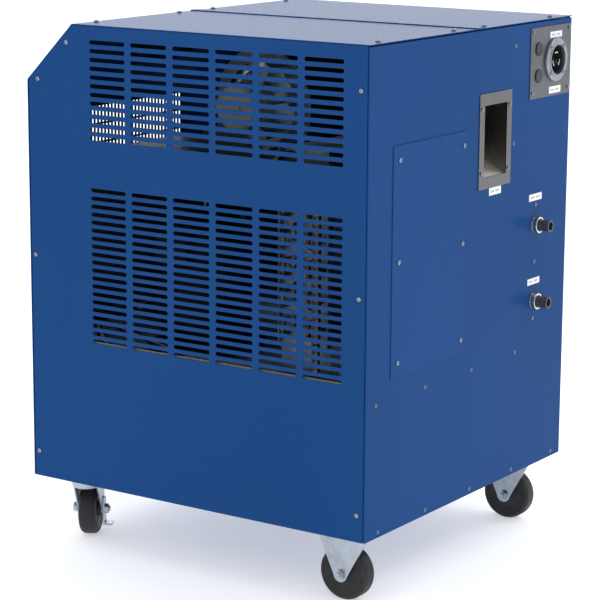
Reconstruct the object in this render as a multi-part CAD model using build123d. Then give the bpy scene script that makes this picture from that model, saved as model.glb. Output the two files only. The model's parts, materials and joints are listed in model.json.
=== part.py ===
"""Portable industrial dehumidifier: a sheet-steel cabinet on four casters.

The cabinet holds a refrigeration circuit, a blower, a condensate pump and an electrical
compartment. Every separate piece is written to its own STEP file in parts/.

Everything is drawn from the centre of the cabinet's underside: +X is towards the right side
panel, +Y towards the rear utility panel, and +Z up. Each piece is then moved so that the
origin is on the floor, in the middle of the whole machine's footprint.
"""
import math
import os

from build123d import *

# Driving dimensions, in millimetres
CABINET_W = 688.0          # across the two slotted side panels, along X
CABINET_D = 713.0          # from the front panel to the rear panel, along Y
CABINET_H = 825.5          # from the cabinet's underside to its top
CHAMFER = 102.5            # 45 degree slope along the front top edge
CASTER_H = 125.0           # from the floor to the cabinet's underside
SHEET = 1.6                # cabinet sheet
GAP = 0.6                  # open joint between two panels
CORNER_GAP = 2.2           # open joint along an upright corner and under the top
SEAM_LAP = 20.0            # raised lap of the left top panel, back from the seam
SEAM_REACH = 2.4           # and forward over the right one
FLANGE = 20.0              # returned edge of a panel

SLOT_LENGTH = 77.0         # air slots in the side panels
SLOT_HEIGHT = 7.4
SLOT_COLUMNS = 6
SLOT_COLUMN_PITCH = 89.3
SLOT_FIRST_Y = -215.4      # front end of the first column
UPPER_ROWS = 12
UPPER_TOP_Z = 795.9
UPPER_PITCH = 15.12
LOWER_ROWS = 20
LOWER_TOP_Z = 538.2
LOWER_PITCH = 14.22

GRILLE_SLOT = (5.5, 31.0)  # upright slots in the front panel
GRILLE_PITCH = (10.1, 34.5)
GRILLE_COLUMNS = 42
GRILLE_ROWS = 12
GRILLE_LEFT_X = -103.0
GRILLE_TOP_Z = 656.0

WHEEL_R = 47.5
WHEEL_W = 32.0
AXLE_R = 5.0
RUNNING = 0.05             # radial clearance of a running fit
CASTER_X = 283.0
CASTER_Y = 285.0
TRAIL = 36.0               # from the kingpin to the axle of a swivel caster
SWIVEL_HEADING = {"right": 206.0, "left": 334.0}

FITTING_X = -220.0
FITTING_Z = (456.0, 314.7)
FITTING_REACH = 34.0
SCREW_HEAD_H = 2.4
TOP_SCREW_HEAD_H = 3.6

BLOWER_CENTRE = (90.0, 25.0, 690.0)
BLOWER_W = 165.0

# Derived places
HALF_W = CABINET_W / 2
HALF_D = CABINET_D / 2
AXLE_Z = WHEEL_R - CASTER_H
INNER_X = HALF_W - SHEET - 0.4      # outer face of the returned edges behind the side panels
POST_X = INNER_X - SHEET - 0.2      # outer faces of the corner posts
POST_Y = HALF_D - SHEET - 0.2
TRAY_X = 337.5
TRAY_Y = 352.2
SHELF_Z = 222.0
DECK_Z = 575.0
FOOTPRINT_SHIFT = -(FITTING_REACH - SCREW_HEAD_H) / 2

SIDES = {"right": 1, "left": -1}
UP = (0, 0, 1)
REARWARD = (0, 1, 0)
FORWARD = (0, -1, 0)
REAR_PLANE = Plane(origin=(0, HALF_D, 0), x_dir=(1, 0, 0), z_dir=FORWARD)
FRONT_PLANE = Plane(origin=(0, -HALF_D + SHEET, 0), x_dir=(1, 0, 0), z_dir=FORWARD)
SLOPE = Plane(
    origin=(0, -HALF_D + CHAMFER / 2, CABINET_H - CHAMFER / 2),
    x_dir=(1, 0, 0),
    z_dir=(0, -1, 1),
)


# Small shape helpers

def block(x0, x1, y0, y1, z0, z1):
    """Return a box between two opposite corners."""
    centre = Pos((x0 + x1) / 2, (y0 + y1) / 2, (z0 + z1) / 2)
    return centre * Box(abs(x1 - x0), abs(y1 - y0), abs(z1 - z0))


def rod(start, direction, radius, length):
    """Return a cylinder that starts at a point and runs along a direction."""
    bottom = (Align.CENTER, Align.CENTER, Align.MIN)
    return Plane(origin=start, z_dir=direction) * Cylinder(radius, length, align=bottom)


def prism(plane, points, thickness):
    """Extrude a closed outline, drawn on a plane, along the plane's normal."""
    return extrude(plane * Polygon(*points, align=None), amount=thickness, dir=plane.z_dir)


def pierced(plane, outline, holes, thickness):
    """Extrude an outline with holes along the plane's normal."""
    hole_wires = [hole.face().outer_wire() for hole in holes]
    face = Face(outline.face().outer_wire(), hole_wires)
    return extrude(plane * face, amount=thickness, dir=plane.z_dir)


def rectangle(x0, x1, y0, y1):
    """Return a flat rectangle between two opposite corners."""
    return Pos((x0 + x1) / 2, (y0 + y1) / 2) * Rectangle(abs(x1 - x0), abs(y1 - y0))


def pipe(points, radius, bend):
    """Sweep a round rod along straight runs joined by bends."""
    path = FilletPolyline(*points, radius=bend)
    section = Plane(origin=path @ 0, z_dir=path % 0) * Circle(radius)
    return sweep(section, path=path)


def tray(x0, x1, y0, y1, z0, z1, wall):
    """Return an open-topped sheet tray."""
    return block(x0, x1, y0, y1, z0, z1) - block(
        x0 + wall, x1 - wall, y0 + wall, y1 - wall, z0 + wall, z1 + wall
    )


def angle_bar(sx, sy, x, y, z0, z1, leg, wall):
    """Return an upright angle bar whose outer corner is at (x, y)."""
    outer = block(sx * x, sx * (x - leg), sy * y, sy * (y - leg), z0, z1)
    inner = block(
        sx * (x - wall), sx * (x - leg - wall), sy * (y - wall), sy * (y - leg - wall), z0, z1
    )
    return outer - inner


# Fasteners

def pan_screw(head_r=4.1, head_h=SCREW_HEAD_H, shank_r=1.9, length=9.0):
    """Return a pan-head cross-recess screw, with its head's underside at the origin."""
    head = Cylinder(head_r, head_h, align=(Align.CENTER, Align.CENTER, Align.MIN))
    head = fillet(head.edges().group_by(Axis.Z)[-1], head_h * 0.55)
    cross = Box(head_r * 1.05, 1.2, 2.0) + Box(1.2, head_r * 1.05, 2.0) + Cylinder(head_r * 0.3, 2.0)
    recess = Pos(0, 0, head_h) * cross
    return (head - recess) + rod((0, 0, 0), (0, 0, -1), shank_r, length)


def dome_rivet(head_r=4.0, shank_r=1.9, length=7.5):
    """Return a blind rivet with its mandrel dimple, head's underside at the origin."""
    head = Cylinder(head_r, 1.4, align=(Align.CENTER, Align.CENTER, Align.MIN))
    head = fillet(head.edges().group_by(Axis.Z)[-1], 1.2)
    dimple = Pos(0, 0, 1.2) * Cylinder(1.1, 1.0)
    return (head - dimple) + rod((0, 0, 0), (0, 0, -1), shank_r, length)


def hex_bolt(across_flats, head_h, shank_r, length):
    """Return a hexagon-head bolt with its shank below the origin and its head above."""
    hexagon = extrude(RegularPolygon(across_flats / 2, 6, major_radius=False), amount=head_h)
    return hexagon + rod((0, 0, 0), (0, 0, -1), shank_r, length)


def set_in(fastener, places):
    """Copy a fastener to each (point, outward normal)."""
    return [Plane(origin=point, z_dir=normal) * fastener for point, normal in places]


def drill(part, places, radius=2.1, depth=14.0):
    """Cut a clearance hole at each (point, outward normal)."""
    drills = [
        rod(Vector(*point) + Vector(*normal), Vector(*normal) * -1, radius, depth)
        for point, normal in places
    ]
    return part - drills


SIDE_SCREW_YZ = (
    (-265.6, 793.0), (-331.3, 725.4), (-343.0, 410.2), (-343.0, 47.0),
    (341.5, 751.7), (341.5, 412.5), (341.5, 46.5),
)
SIDE_SCREWS = {
    side: [((sx * HALF_W, y, z), (sx, 0, 0)) for y, z in SIDE_SCREW_YZ]
    for side, sx in SIDES.items()
}
TOP_SCREWS = {
    side: [
        ((sx * x, y, CABINET_H), UP)
        for x in (52.0, 292.0)
        for y in (-HALF_D + CHAMFER + 13.0, HALF_D - 18.0)
    ]
    for side, sx in SIDES.items()
}
FRONT_SCREWS = [
    ((sx * 200.0, -HALF_D, z), FORWARD) for sx in (1, -1) for z in (700.0, 15.0)
]
COVER_X = (35.0, 270.0)
COVER_Z = (266.0, 655.0)
COVER_SCREWS = [
    ((x, HALF_D + SHEET, z), REARWARD) for x in (42.5, 251.0) for z in (290.0, 460.5, 630.5)
]
PLATE_X = (-340.0, -187.6)
PLATE_Z = (685.5, 812.5)
PLATE_SCREWS = [
    ((x, HALF_D + SHEET, z), REARWARD) for x in (-332.5, -196.5) for z in (696.0, 805.0)
]
RECESS_SCREWS = [
    ((x, HALF_D + SHEET, z), REARWARD) for x in (-18.5, -114.5) for z in (574.0, 686.0)
]
RIVET_XZ = [(-134.0, 786.0), (-134.0, 614.0)]
RIVET_XZ += [(-223.0, z) for z in (492.0, 387.0, 281.0)]
RIVET_XZ += [(x, 229.5) for x in (314.0, 157.0, 0.0, -157.0)]
RIVET_XZ += [(-2.0 + 152.4 * k, 10.0) for k in (-2, -1, 0, 1, 2)]
RIVETS = [((x, HALF_D, z), REARWARD) for x, z in RIVET_XZ]


# Cabinet sheet metal

def side_panel(side):
    """Return a slotted side panel: a flat sheet with its front top corner cut at 45 degrees."""
    sx = SIDES[side]
    end_y = HALF_D - SHEET - CORNER_GAP
    top = CABINET_H - SHEET - GAP
    slope_inset = (SHEET + GAP) * math.sqrt(2)
    corner_y = -HALF_D + CHAMFER + slope_inset - (CABINET_H - top)
    corner_z = CABINET_H - CHAMFER - slope_inset + (HALF_D - end_y)
    outline = Polygon(
        (-end_y, 0), (end_y, 0), (end_y, top), (corner_y, top), (-end_y, corner_z), align=None
    )
    slot = SlotOverall(SLOT_LENGTH, SLOT_HEIGHT)
    slots = []
    for column in range(SLOT_COLUMNS):
        y = SLOT_FIRST_Y + SLOT_LENGTH / 2 + column * SLOT_COLUMN_PITCH
        slots += [Pos(y, UPPER_TOP_Z - row * UPPER_PITCH) * slot for row in range(UPPER_ROWS)]
        slots += [Pos(y, LOWER_TOP_Z - row * LOWER_PITCH) * slot for row in range(LOWER_ROWS)]
    inner_x = HALF_W - SHEET if sx > 0 else -HALF_W
    plane = Plane(origin=(inner_x, 0, 0), x_dir=REARWARD, z_dir=(1, 0, 0))
    return drill(pierced(plane, outline, slots, SHEET), SIDE_SCREWS[side])


def rear_panel():
    """Return the rear utility panel, with returned edges behind the side and top panels."""
    top = CABINET_H - SHEET - CORNER_GAP
    outline = rectangle(-HALF_W, HALF_W, 0, top)
    fitting_holes = [Pos(FITTING_X, z) * Circle(11.0) for z in FITTING_Z]
    holes = [
        rectangle(COVER_X[0] + 18, COVER_X[1] - 30, COVER_Z[0] + 12, COVER_Z[1] - 12),
        rectangle(
            RECESS_OPEN_X[0] - 2, RECESS_OPEN_X[1] + 2, RECESS_OPEN_Z[0] - 2, RECESS_OPEN_Z[1] + 2
        ),
        rectangle(PLATE_X[0] + 14, PLATE_X[1] - 14, PLATE_Z[0] + 17, PLATE_Z[1] - 14),
    ]
    panel = pierced(REAR_PLANE, outline, holes + fitting_holes, SHEET)
    upright = panel.edges().filter_by(Axis.Z).group_by(Axis.Y)[-1]
    corners = [edge for edge in upright if abs(abs(edge.center().X) - HALF_W) < 1]
    brow = panel.edges().filter_by(Axis.X).group_by(Axis.Z)[-1].sort_by(Axis.Y)[-1:]
    panel = fillet(corners + brow, SHEET * 0.8)
    inner_y = HALF_D - SHEET
    for sx in (1, -1):
        panel += block(sx * (INNER_X - SHEET), sx * INNER_X, inner_y - FLANGE, inner_y, 2, top - 4)
    panel += block(-INNER_X + 6, INNER_X - 6, inner_y - 2 * FLANGE, inner_y, top - SHEET, top)
    places = SIDE_SCREWS["right"] + SIDE_SCREWS["left"] + TOP_SCREWS["right"] + TOP_SCREWS["left"]
    places = places + COVER_SCREWS + PLATE_SCREWS + RECESS_SCREWS + RIVETS
    return drill(panel, places)


def front_panel():
    """Return the front panel with its grille of upright slots."""
    top = CABINET_H - CHAMFER - GAP
    slot = Rectangle(*GRILLE_SLOT)
    slots = []
    for column in range(GRILLE_COLUMNS):
        x = GRILLE_LEFT_X + (column + 0.5) * GRILLE_PITCH[0]
        for row in range(GRILLE_ROWS):
            z = GRILLE_TOP_Z - GRILLE_SLOT[1] / 2 - row * GRILLE_PITCH[1]
            slots.append(Pos(x, z) * slot)
    panel = pierced(FRONT_PLANE, rectangle(-HALF_W, HALF_W, 0, top), slots, SHEET)
    inner_y = -HALF_D + SHEET
    for sx in (1, -1):
        panel += block(
            sx * (INNER_X - SHEET), sx * INNER_X, inner_y, inner_y + FLANGE, 2, top - 40
        )
    return drill(panel, SIDE_SCREWS["right"] + SIDE_SCREWS["left"] + FRONT_SCREWS)


def top_panel(side):
    """Return one of the two top panels: the left one laps over the right one along the middle."""
    sx = SIDES[side]
    z0 = CABINET_H - SHEET
    front_y = -HALF_D + CHAMFER + SHEET
    panel = block(sx * GAP / 2, sx * (HALF_W - 0.2), front_y, HALF_D, z0, CABINET_H)
    if side == "left":
        panel += block(-SEAM_LAP, SEAM_REACH, front_y, HALF_D, CABINET_H, CABINET_H + SHEET)
    return drill(panel, TOP_SCREWS[side])


SLOPE_LENGTH = CHAMFER * math.sqrt(2)
KNOB_AT = (-70.0, 0.0)
SWITCH_AT = (20.0, 0.0)
METER_AT = (105.0, 0.0)
BUTTON_AT = (-150.0, 0.0)
SWITCH_HOLE = (14.0, 28.0)
METER_HOLE = (36.0, 24.0)
BUTTON_R = 7.0


def control_panel():
    """Return the sloped control panel, with its returned ends and its flange under the top."""
    half_length = SLOPE_LENGTH / 2 - GAP
    holes = [
        Pos(*KNOB_AT) * Circle(5.0),
        Pos(*SWITCH_AT) * Rectangle(*SWITCH_HOLE),
        Pos(*METER_AT) * Rectangle(*METER_HOLE),
        Pos(*BUTTON_AT) * Circle(BUTTON_R + RUNNING),
    ]
    outline = Rectangle(CABINET_W - 0.4, 2 * half_length)
    panel = pierced(SLOPE.offset(-SHEET), outline, holes, SHEET)
    for sx in (1, -1):
        panel += SLOPE * block(
            sx * (INNER_X - SHEET), sx * INNER_X, -half_length + 4, half_length - 8, -26.0, -SHEET / 2
        )
    edge_y = -HALF_D + CHAMFER
    top = CABINET_H - SHEET - 2 * GAP
    panel += block(-INNER_X + 6, INNER_X - 6, edge_y - 1.0, edge_y + 32.0, top - SHEET, top)
    places = SIDE_SCREWS["right"] + SIDE_SCREWS["left"] + TOP_SCREWS["right"] + TOP_SCREWS["left"]
    return drill(panel, places)


def base_tray():
    """Return the base: a sheet tray that carries the casters."""
    base = tray(-TRAY_X, TRAY_X, -TRAY_Y, TRAY_Y, 0, 25.0, 3.0)
    return drill(drill(base, RIVETS + FRONT_SCREWS), CASTER_BOLTS, 4.3, 12.0)


def frame_posts():
    """Return the corner posts and the two rails under the top panels."""
    posts = []
    for sx in (1, -1):
        posts.append(angle_bar(sx, 1, POST_X, POST_Y, 0, 819.5, 28.0, 2.0))
        posts.append(angle_bar(sx, -1, POST_X, POST_Y, 0, 680.0, 28.0, 2.0))
        rail = block(sx * POST_X, sx * (POST_X - 2.0), -215.0, 310.0, 806.5, 821.5)
        rail += block(sx * POST_X, sx * (POST_X - 24.0), -215.0, 310.0, 819.5, 821.5)
        posts.append(rail)
    places = SIDE_SCREWS["right"] + SIDE_SCREWS["left"] + TOP_SCREWS["right"] + TOP_SCREWS["left"]
    return [drill(post, places + RIVETS + PLATE_SCREWS) for post in posts]


def access_cover():
    """Return the screwed access cover on the rear panel."""
    cover = block(*COVER_X, HALF_D, HALF_D + SHEET, *COVER_Z)
    cover = fillet(cover.edges().filter_by(Axis.Y), 2.0)
    return drill(cover, COVER_SCREWS)


RECESS_X = (-123.0, -10.0)
RECESS_Z = (545.0, 712.0)
RECESS_OPEN_X = (-106.0, -27.0)
RECESS_OPEN_Z = (565.0, 691.0)
RECESS_DEPTH = 92.0
RECESS_WALL = 1.2


def recess_box():
    """Return the stainless recess: a flanged box whose floor climbs at 45 degrees to its back."""
    x0, x1 = RECESS_OPEN_X
    z0, z1 = RECESS_OPEN_Z
    back_y = HALF_D - RECESS_DEPTH
    flange = block(*RECESS_X, HALF_D, HALF_D + SHEET, *RECESS_Z)
    flange = fillet(flange.edges().filter_by(Axis.Y), 1.5)
    side_on = Plane(origin=(x0 - RECESS_WALL, 0, 0), x_dir=REARWARD, z_dir=(1, 0, 0))
    w = RECESS_WALL
    outside = prism(
        side_on,
        [
            (HALF_D + SHEET, z0 - w), (HALF_D + SHEET, z1 + w), (back_y - w, z1 + w),
            (back_y - w, z0 + RECESS_DEPTH - w), (HALF_D - 2, z0 - w),
        ],
        x1 - x0 + 2 * w,
    )
    inside = prism(
        side_on.offset(w),
        [
            (HALF_D + 9, z0), (HALF_D + 9, z1), (back_y, z1),
            (back_y, z0 + RECESS_DEPTH), (HALF_D, z0),
        ],
        x1 - x0,
    )
    return drill(flange + outside - inside, RECESS_SCREWS)


def power_plate():
    """Return the stainless plate that carries the power inlet and the two hole plugs."""
    outline = rectangle(*PLATE_X, *PLATE_Z)
    holes = [Pos(*INLET_AT) * Circle(INLET_BORE_R + 1.0)] + [Pos(*plug) * Circle(10.0) for plug in PLUGS_AT]
    plate = pierced(REAR_PLANE.offset(-SHEET), outline, holes, SHEET)
    return drill(plate, PLATE_SCREWS + INLET_SCREWS)


INLET_AT = (-280.5, 750.5)
INLET_FLANGE_R = 39.2
INLET_SHELL_R = 29.5
INLET_BORE_R = 27.0
INLET_FLANGE_T = 5.0
INLET_FLOOR_DEPTH = 14.0     # from the plate's face in to the floor of the inlet
PLUGS_AT = ((-218.0, 773.9), (-218.0, 725.5))
PLATE_FACE = HALF_D + SHEET
INLET_SCREWS = [
    (
        (
            INLET_AT[0] + 33.5 * math.cos(math.radians(a)),
            PLATE_FACE + INLET_FLANGE_T,
            INLET_AT[1] + 33.5 * math.sin(math.radians(a)),
        ),
        REARWARD,
    )
    for a in (45, 135, 225, 315)
]


def ring(centre_xz, y0, y1, outer_r, inner_r):
    """Return a tube along Y."""
    start = (centre_xz[0], y0, centre_xz[1])
    tube = rod(start, REARWARD, outer_r, y1 - y0)
    return tube - rod(start, REARWARD, inner_r, y1 - y0)


def inlet_flange():
    """Return the cast flange of the power inlet, with a low rim round its mouth."""
    centre = (INLET_AT[0], PLATE_FACE, INLET_AT[1])
    base = rod(centre, REARWARD, INLET_FLANGE_R, INLET_FLANGE_T)
    base = fillet(base.edges().group_by(Axis.Y)[-1], 2.0)
    rim = rod(centre, REARWARD, INLET_SHELL_R, INLET_FLANGE_T + 1.4)
    rim = fillet(rim.edges().group_by(Axis.Y)[-1], 1.0)
    bore = rod((INLET_AT[0], PLATE_FACE - 1, INLET_AT[1]), REARWARD, INLET_BORE_R, 12.0)
    return drill(base + rim - bore, INLET_SCREWS)


def inlet_insert():
    """Return the moulded inlet body behind the flange, open to the rear."""
    back_y = PLATE_FACE - 38.0
    floor_y = PLATE_FACE - INLET_FLOOR_DEPTH
    cup = rod((INLET_AT[0], back_y, INLET_AT[1]), REARWARD, INLET_BORE_R - 0.2, 40.0)
    hollow = rod((INLET_AT[0], floor_y, INLET_AT[1]), REARWARD, INLET_BORE_R - 2.2, 45.0)
    return drill(cup - hollow, INLET_BLADE_FEET, 3.0, 10.0)


BLADE_CIRCLE_R = 13.0
BLADE_ANGLES = (90, 210, 330)
INLET_BLADE_FEET = [
    (
        (
            INLET_AT[0] + BLADE_CIRCLE_R * math.cos(math.radians(a)),
            PLATE_FACE - INLET_FLOOR_DEPTH,
            INLET_AT[1] + BLADE_CIRCLE_R * math.sin(math.radians(a)),
        ),
        REARWARD,
    )
    for a in BLADE_ANGLES
]


def inlet_blades():
    """Return the three curved locking blades of the inlet, each on a round foot."""
    blades = []
    for (foot, _), a in zip(INLET_BLADE_FEET, BLADE_ANGLES):
        outer = Circle(BLADE_CIRCLE_R + 0.9) - Circle(BLADE_CIRCLE_R - 0.9)
        reach = BLADE_CIRCLE_R * 2
        half = math.radians(26)
        wedge = Polygon(
            (0, 0),
            (reach, -reach * math.tan(half)),
            (reach, reach * math.tan(half)),
            align=None,
        )
        section = outer & wedge
        plane = Plane(
            origin=(INLET_AT[0], foot[1], INLET_AT[1]),
            x_dir=(math.cos(math.radians(a)), 0, math.sin(math.radians(a))),
            z_dir=REARWARD,
        )
        blade = extrude(plane * section, amount=16.0, dir=Vector(*REARWARD))
        blades.append(blade + rod(foot, FORWARD, 2.9, 8.0))
    return blades


def hole_plugs():
    """Return the two snap-in plugs that close the spare holes of the power plate."""
    plugs = []
    for x, z in PLUGS_AT:
        cap = rod((x, PLATE_FACE, z), REARWARD, 12.5, 2.2)
        cap = fillet(cap.edges().group_by(Axis.Y)[-1], 1.4)
        plugs.append(cap + rod((x, PLATE_FACE, z), FORWARD, 9.7, 7.0))
    return plugs


COLLAR_R = 15.0
STUB_R = 10.65
STUB_BORE_R = 7.9
COLLAR_LENGTH = 13.0
STUB_LENGTH = 16.0
NECK_R = 9.6
TAIL_LENGTH = 30.0


def drain_collars():
    """Return the two bulkhead collars that hold the pipe stubs in the rear panel."""
    collars = []
    for z in FITTING_Z:
        at = (FITTING_X, z)
        collar = ring(at, HALF_D, HALF_D + COLLAR_LENGTH, COLLAR_R, 11.8)
        collar = fillet(collar.edges().group_by(Axis.Y)[-1].sort_by(Edge.length)[-1:], 1.2)
        groove = ring(at, HALF_D + 3.0, HALF_D + 4.2, COLLAR_R + 1, COLLAR_R - 0.8)
        collars.append(collar - groove + ring(at, HALF_D, HALF_D + 4.0, COLLAR_R - 2, NECK_R + 0.1))
    return collars


def drain_stubs():
    """Return the two pipe stubs: a neck through the collar and a plain half-inch pipe end."""
    stubs = []
    for z in FITTING_Z:
        at = (FITTING_X, z)
        tip_y = HALF_D + FITTING_REACH
        stub = ring(at, tip_y - STUB_LENGTH, tip_y, STUB_R, STUB_BORE_R)
        stubs.append(stub + ring(at, HALF_D - TAIL_LENGTH, tip_y - STUB_LENGTH, NECK_R, STUB_BORE_R))
    return stubs


def label_plates():
    """Return the five small blank name plates of the rear panel."""
    thickness = 0.4
    rear = [(-92, -50, 531, 544.5), (-245, -198, 500, 512.6), (-245, -200, 345, 356.5)]
    plate = [(-303, -259, 790.5, 801.5), (-303, -259, 690, 702.5)]
    labels = [block(x0, x1, HALF_D, HALF_D + thickness, z0, z1) for x0, x1, z0, z1 in rear]
    labels += [
        block(x0, x1, PLATE_FACE, PLATE_FACE + thickness, z0, z1) for x0, x1, z0, z1 in plate
    ]
    return labels


# Inside the cabinet

def partitions():
    """Return the two upright partitions that wall off the electrical compartment."""
    y = POST_Y - 4.0
    upper = block(-120.6, -119.0, -215.0, y, DECK_Z + SHEET + 0.3, 820.0)
    upper += block(-149.0, -119.0, y - SHEET, y, DECK_Z + SHEET + 0.3, 820.0)
    lower = block(-209.6, -208.0, -y, y, SHELF_Z + 46.0, DECK_Z - 1.0)
    lower += block(-238.0, -208.0, y - SHEET, y, SHELF_Z + 46.0, DECK_Z - 1.0)
    lower -= [rod((FITTING_X, y + 1, z), FORWARD, NECK_R + 1.0, 4.0) for z in FITTING_Z]
    return [drill(upper, RIVETS), drill(lower, RIVETS)]


def drain_pan():
    """Return the shelf that carries the compressor and catches the condensate."""
    pan = tray(-TRAY_X, TRAY_X, -TRAY_Y, TRAY_Y, SHELF_Z, SHELF_Z + 44.0, SHEET)
    return drill(pan, RIVETS)


def blower_deck():
    """Return the deck that carries the blower and splits the cabinet into two levels."""
    deck = block(-118.0, TRAY_X, -TRAY_Y, 150.0, DECK_Z, DECK_Z + SHEET)
    deck += block(TRAY_X - SHEET, TRAY_X, -325.0, 150.0, DECK_Z - 18, DECK_Z)
    deck += block(-118.0, TRAY_X, 150.0 - SHEET, 150.0, DECK_Z - 18, DECK_Z)
    return deck


def air_filter():
    """Return the framed filter mat behind the lower part of the front grille."""
    x0, x1, y0, y1, z0, z1 = -112.0, 328.0, -349.0, -330.0, 270.0, 552.0
    frame = block(x0, x1, y0, y1, z0, z1) - block(x0 + 10, x1 - 10, y0 - 1, y1 + 1, z0 + 10, z1 - 10)
    teeth = 44
    pitch = (x1 - x0 - 20) / teeth
    front = [(x0 + 10 + k * pitch, y0 + (3 if k % 2 else 12)) for k in range(teeth + 1)]
    back = [(x, y + 3.5) for x, y in reversed(front)]
    mat = prism(Plane.XY.offset(z0 + 10), front + back, z1 - z0 - 20)
    return frame + mat


COIL_X = (-113.0, 296.0)
COIL_Z = (311.0, 642.0)
COIL_Y = (158.0, 258.0)
COIL_SPLIT_Y = 208.0


def fin_block(y0, y1):
    """Return a stack of upright fins on a thin web."""
    x0, x1 = COIL_X[0] + 2.2, COIL_X[1] - 0.4
    fins = 80
    pitch = (x1 - x0) / fins
    web = 3.0
    mid = (y0 + y1) / 2
    front, back = [], []
    for k in range(fins):
        left = x0 + k * pitch
        right = left + pitch * 0.45
        front += [(left, mid - web), (left, y0), (right, y0), (right, mid - web)]
        back += [(left, mid + web), (left, y1), (right, y1), (right, mid + web)]
    return prism(Plane.XY.offset(COIL_Z[0] + 1), front + back[::-1], COIL_Z[1] - COIL_Z[0] - 2)


def coil_end_plates():
    """Return the two galvanised end plates, with flanges turned out along their upright edges."""
    plates = []
    for x0, x1, out in ((COIL_X[1], COIL_X[1] + 2, 12.0), (COIL_X[0], COIL_X[0] + 2, -5.0)):
        plate = block(x0, x1, *COIL_Y, *COIL_Z)
        edge = x1 if out > 0 else x0
        for y in (COIL_Y[0], COIL_Y[1] - 2):
            plate += block(edge, edge + out, y, y + 2, *COIL_Z)
        plate += block(x0, x1, *COIL_Y, SHELF_Z + SHEET, COIL_Z[0])
        plates.append(plate)
    return plates


TUBE_R = 4.8
BEND_PITCH = 25.4
TUBE_COLUMNS_Y = (172.0, 194.0, 222.0)
FIRST_TUBE_Z = 326.0
BENDS = 6


def coil_bends():
    """Return the copper return bends on the coil's right end plate."""
    radius = BEND_PITCH / 2
    face_x = COIL_X[1] + 2.0
    bends = []
    for column, y in enumerate(TUBE_COLUMNS_Y):
        first = FIRST_TUBE_Z + (BEND_PITCH / 2 if column == 1 else 0)
        for k in range(BENDS):
            z = first + 2 * k * BEND_PITCH
            path = Polyline((face_x, y, z), (face_x + 6, y, z)) + ThreePointArc(
                (face_x + 6, y, z), (face_x + 6 + radius, y, z + radius), (face_x + 6, y, z + 2 * radius)
            ) + Polyline((face_x + 6, y, z + 2 * radius), (face_x, y, z + 2 * radius))
            section = Plane(origin=(face_x, y, z), z_dir=(1, 0, 0)) * Circle(TUBE_R)
            bends.append(sweep(section, path=path))
    return bends


HEADER_Y = 243.0
HEADER_X = 322.0


def coil_headers():
    """Return the upright header and the distributor pipe beside the end plate."""
    header = rod((HEADER_X, HEADER_Y, 320.0), UP, 8.0, 250.0)
    header = fillet(header.edges(), 3.0)
    for k in range(5):
        z = 340.0 + k * 2 * BEND_PITCH
        header += rod((COIL_X[1] + 2.0, HEADER_Y, z), (1, 0, 0), TUBE_R, HEADER_X - COIL_X[1] - 2)
    return header


COMPRESSOR_AT = (150.0, -110.0)
COMPRESSOR_R = 84.0
COMPRESSOR_Z = (SHELF_Z + SHEET + 22.0, 486.0)


def compressor():
    """Return the hermetic compressor shell on its foot plate, with four rubber feet."""
    x, y = COMPRESSOR_AT
    z0, z1 = COMPRESSOR_Z
    shell = rod((x, y, z0), UP, COMPRESSOR_R, z1 - z0)
    shell = fillet(shell.edges(), 38.0)
    mid = (z0 + z1) / 2 + 20
    shell += rod((x, y, mid), UP, COMPRESSOR_R + 3, 12.0)
    plate = block(x - 82, x + 82, y - 82, y + 82, z0 + 3, z0 + 6)
    plate = fillet(plate.edges().filter_by(Axis.Z), 14.0)
    box = block(x + COMPRESSOR_R - 12, x + COMPRESSOR_R + 22, y - 34, y + 34, mid + 18, mid + 70)
    body = shell + plate + box
    pieces = [body]
    for sx in (1, -1):
        for sy in (1, -1):
            foot = rod((x + sx * 66, y + sy * 66, SHELF_Z + SHEET), UP, 12.0, z0 + 3 - SHELF_Z - SHEET)
            pieces.append(fillet(foot.edges(), 2.0))
    return pieces


def refrigerant_lines():
    """Return the copper lines between the compressor, the coils and the filter-drier."""
    x, y = COMPRESSOR_AT
    z1 = COMPRESSOR_Z[1]
    suction = pipe(
        [
            (x + 40, y - 84, 300), (x + 40, y - 125, 300), (x + 168, y - 125, 300),
            (x + 168, y - 85, 250), (HEADER_X, HEADER_Y, 250), (HEADER_X, HEADER_Y, 319),
        ],
        7.0, 16.0,
    )
    discharge = pipe(
        [
            (x, y, z1 + 0.2), (x, y, z1 + 44), (x + 90, y + 50, z1 + 44),
            (x + 90, y + 220, z1 + 44), (x + 178, COIL_Y[0] + 6, z1 + 60),
            (x + 178, COIL_Y[0] + 6, COIL_Z[1] - 10),
            (COIL_X[1] + 4.8, TUBE_COLUMNS_Y[0] + 6, COIL_Z[1] - 10),
        ],
        5.0, 14.0,
    )
    liquid = pipe(
        [
            (x - 119, y - 150, 296), (x + 20, y - 150, 296), (x + 140, y - 145, 296),
            (x + 150, y - 60, 284), (x + 130, y + 60, 250), (x + 130, y + 200, 250),
        ],
        4.8, 16.0,
    )
    drier = rod((x - 240, y - 150, 296), (1, 0, 0), 22.0, 120.0)
    drier = fillet(drier.edges(), 8.0)
    return [suction, discharge, liquid, drier]


VOLUTE_START_R = 92.0
VOLUTE_GROWTH = 20.0
VOLUTE_STEPS = 16
BLOWER_SHEET = 1.2
EYE_R = 72.0


def blower_housing():
    """Return the blower's scroll housing, with an inlet eye in each side and a front outlet."""
    x, y, z = BLOWER_CENTRE
    side_on = Plane(origin=(x - BLOWER_W / 2, y, z), x_dir=REARWARD, z_dir=(1, 0, 0))
    return scroll_shell(side_on)


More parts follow.
